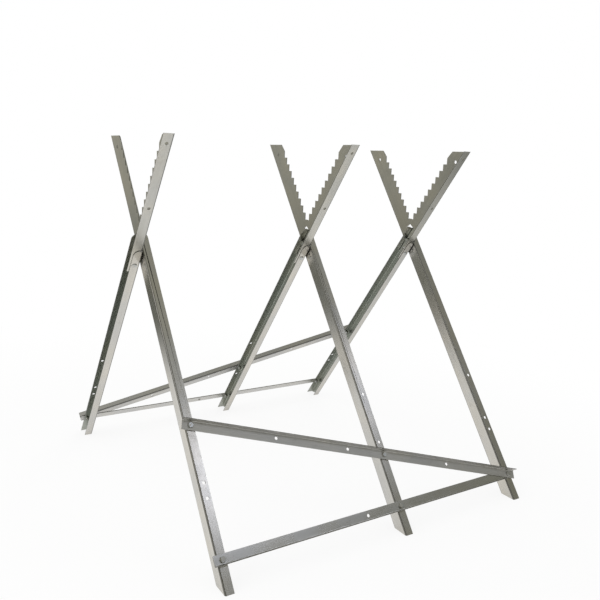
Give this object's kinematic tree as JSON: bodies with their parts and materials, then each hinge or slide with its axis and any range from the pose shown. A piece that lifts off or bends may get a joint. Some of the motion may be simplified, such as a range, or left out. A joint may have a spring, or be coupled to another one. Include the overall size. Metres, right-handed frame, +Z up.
{
  "type": "folding log saw stand",
  "caption": "Folding galvanised-steel stand that holds a log in toothed V arms for sawing: scissor frames of leg channels tied by angle rails, hinged on cross bolts.",
  "frame": {"origin": "bottom centre of the open stand, on the ground", "axes": "+X along the log, +Y from the front legs to the back legs, +Z up"},
  "size_m": [0.8026, 0.847, 0.785],
  "materials": {
    "leg_sheet": "hot-dip galvanised, faint spangle, dull",
    "arm_sheet": "hot-dip galvanised, faint spangle, dull",
    "rail_sheet": "galvanised, smooth",
    "fastener": "bright zinc plated"
  },
  "bodies": {
    "front_frame": {"front_leg_left": "leg_sheet", "front_leg_middle": "leg_sheet", "front_leg_right": "leg_sheet", "back_arm_left": "arm_sheet", "back_arm_middle": "arm_sheet", "back_arm_right": "arm_sheet", "front_upper_rail": "rail_sheet", "front_lower_rail": "rail_sheet", "front_rail_screws": "fastener", "front_rail_nuts": "fastener", "front_rail_washers": "fastener", "back_arm_screws": "fastener", "back_arm_nuts": "fastener", "pivot_bolts": "fastener", "pivot_washers": "fastener", "pivot_nuts": "fastener"},
    "back_frame": {"back_leg_left": "leg_sheet", "back_leg_middle": "leg_sheet", "back_leg_right": "leg_sheet", "front_arm_left": "arm_sheet", "front_arm_middle": "arm_sheet", "front_arm_right": "arm_sheet", "back_upper_rail": "rail_sheet", "back_lower_rail": "rail_sheet", "back_rail_screws": "fastener", "back_rail_nuts": "fastener", "back_rail_washers": "fastener", "front_arm_screws": "fastener", "front_arm_nuts": "fastener"}
  },
  "joints": [
    {"name": "fold", "type": "hinge", "parent": "front_frame", "child": "back_frame", "pos_m": [0, 0, 0.55185], "axis": [-1, 0, 0], "range_deg": [0, 71]}
  ]
}
